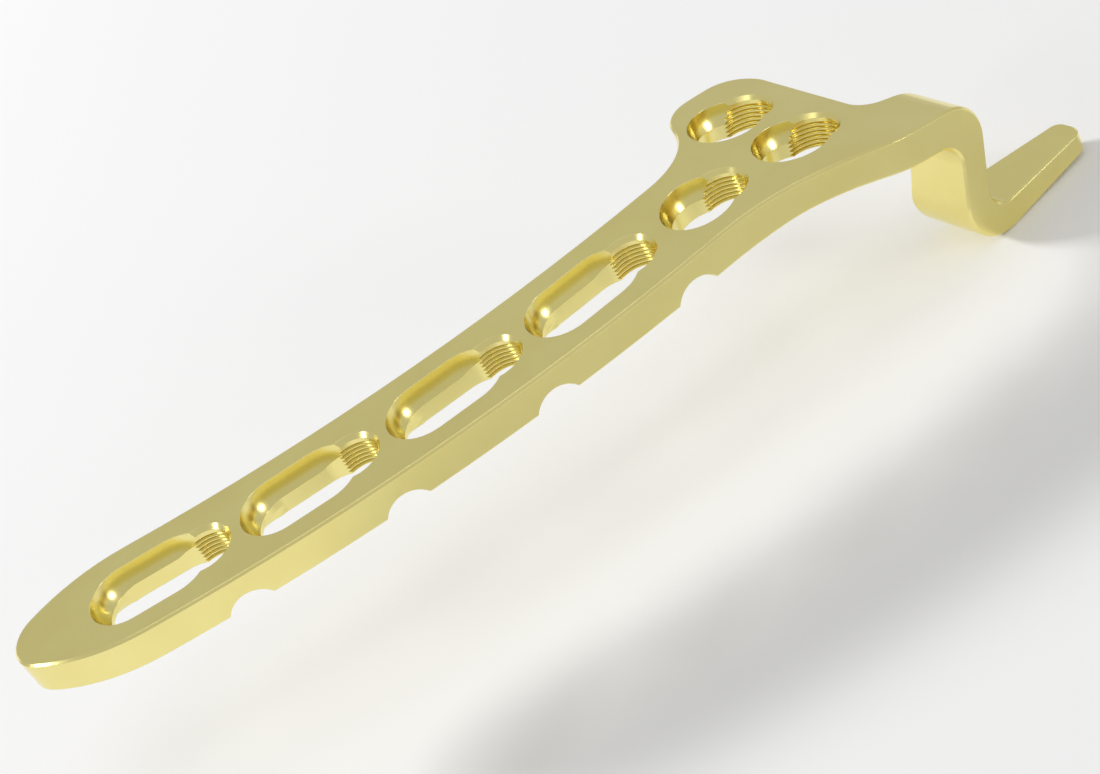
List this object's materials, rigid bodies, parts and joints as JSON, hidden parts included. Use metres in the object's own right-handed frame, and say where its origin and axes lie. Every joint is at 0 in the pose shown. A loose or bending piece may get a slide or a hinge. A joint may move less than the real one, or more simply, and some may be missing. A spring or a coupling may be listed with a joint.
{
  "type": "orthopedic bone plate",
  "caption": "Curved clavicle plate with slotted screw holes that have threaded ends, a widened head and a stepped hook at one end.",
  "frame": {"origin": "on the axis of the first threaded hole, counted from the tip, at the face that lies on the bone", "axes": "+X along the shaft at the first hole, towards the hook; +Y across the shaft, towards the side on which the head widens; +Z out of the top face, away from the bone"},
  "size_m": [0.0996, 0.0295, 0.0182],
  "materials": {
    "anodised_titanium": "satin"
  },
  "bodies": {
    "root": {"hook_plate": "anodised_titanium"}
  },
  "joints": []
}
